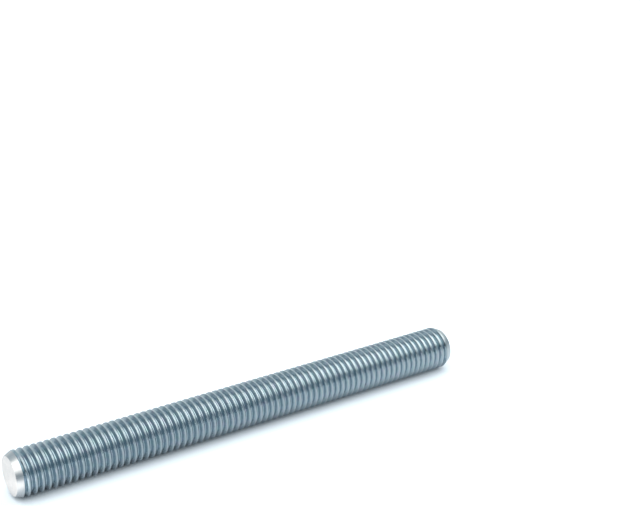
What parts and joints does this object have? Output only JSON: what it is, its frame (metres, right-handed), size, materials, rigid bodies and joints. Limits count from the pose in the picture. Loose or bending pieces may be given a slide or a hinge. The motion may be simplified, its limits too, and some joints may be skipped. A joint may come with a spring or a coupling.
{
  "type": "threaded rod",
  "caption": "Straight zinc-plated steel rod threaded over its whole length, with a chamfered flat face at each end.",
  "frame": {"origin": "centre of the lower end face, on the rod's axis", "axes": "+Z along the rod's axis, from the lower end face to the upper one; the rod is stored standing on its lower end, and X and Y are square to the axis"},
  "size_m": [0.012, 0.0118, 0.1323],
  "materials": {
    "zinc_plated_steel": "bright zinc plating with a faint blue cast, rolled flanks and turned ends"
  },
  "bodies": {
    "root": {"threaded_rod": "zinc_plated_steel"}
  },
  "joints": []
}
